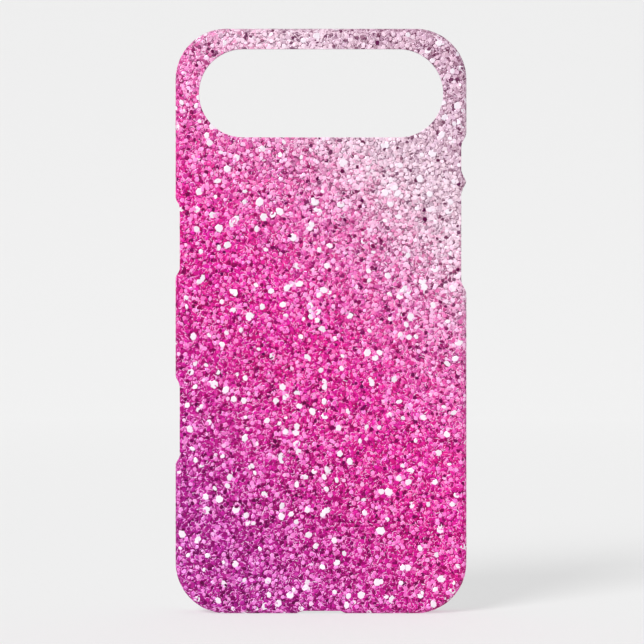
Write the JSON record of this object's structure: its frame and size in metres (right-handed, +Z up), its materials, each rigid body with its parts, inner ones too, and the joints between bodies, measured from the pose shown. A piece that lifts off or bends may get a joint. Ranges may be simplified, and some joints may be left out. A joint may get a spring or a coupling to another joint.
{
  "type": "phone case",
  "caption": "Hard case that clips onto a slim phone: a moulded shell with a hooked front lip, a wide camera window, open button dips and a pink glitter wrap.",
  "frame": {"origin": "under the middle of the bottom edge, halfway through the depth", "axes": "+Z up the case's height, +X to the right as seen from behind, +Y towards the screen side"},
  "size_m": [0.0792, 0.0078, 0.1592],
  "materials": {
    "shell_plastic": "satin moulded",
    "glitter": "chunky glitter under clear coat"
  },
  "bodies": {
    "root": {"hard_shell": "shell_plastic", "glitter_wrap": "glitter"}
  },
  "joints": []
}
